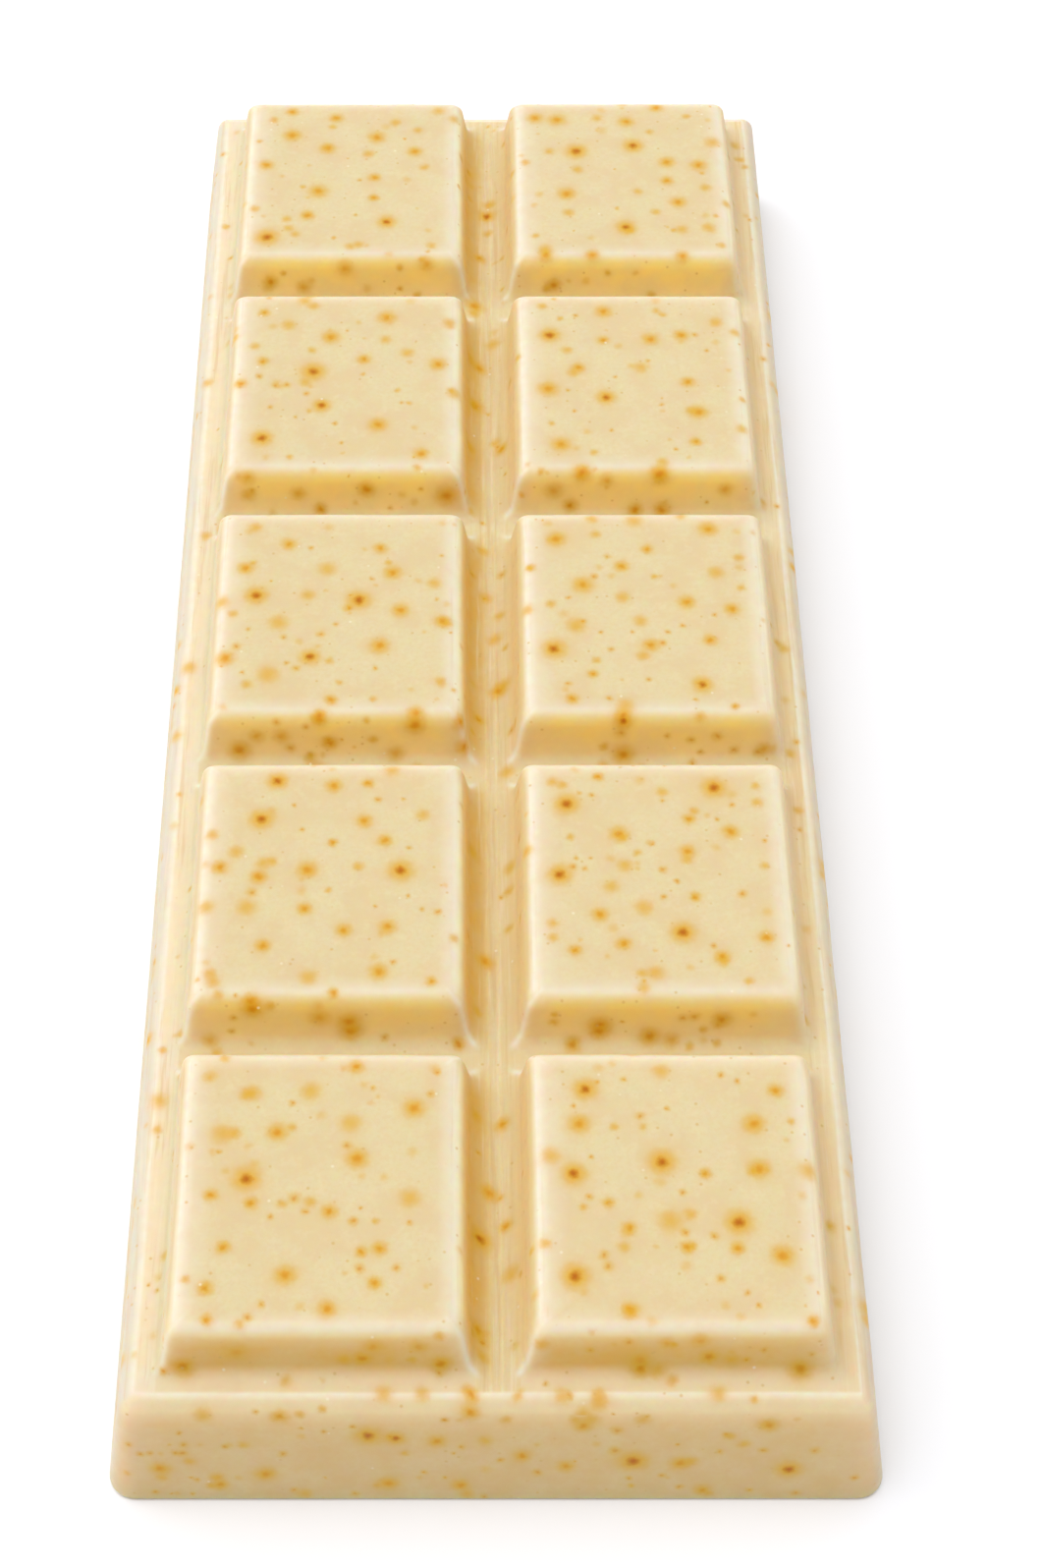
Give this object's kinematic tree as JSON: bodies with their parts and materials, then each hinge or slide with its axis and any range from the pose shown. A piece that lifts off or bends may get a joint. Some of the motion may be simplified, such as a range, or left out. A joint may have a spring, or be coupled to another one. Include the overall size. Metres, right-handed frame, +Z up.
{
  "type": "chocolate bar",
  "caption": "Moulded white chocolate bar with orange-brown specks: a thick slab with sloping sides and rows of raised, flat-topped break-off blocks, lying on its flat back.",
  "frame": {"origin": "middle of the flat underside", "axes": "+Y along the length of the bar, +X across it, +Z up out of the block tops"},
  "size_m": [0.0502, 0.13, 0.0142],
  "materials": {
    "white_chocolate": "smooth moulded white chocolate, cream to ivory, soft sheen, with many small orange-brown specks"
  },
  "bodies": {
    "root": {"chocolate_bar": "white_chocolate"}
  },
  "joints": []
}
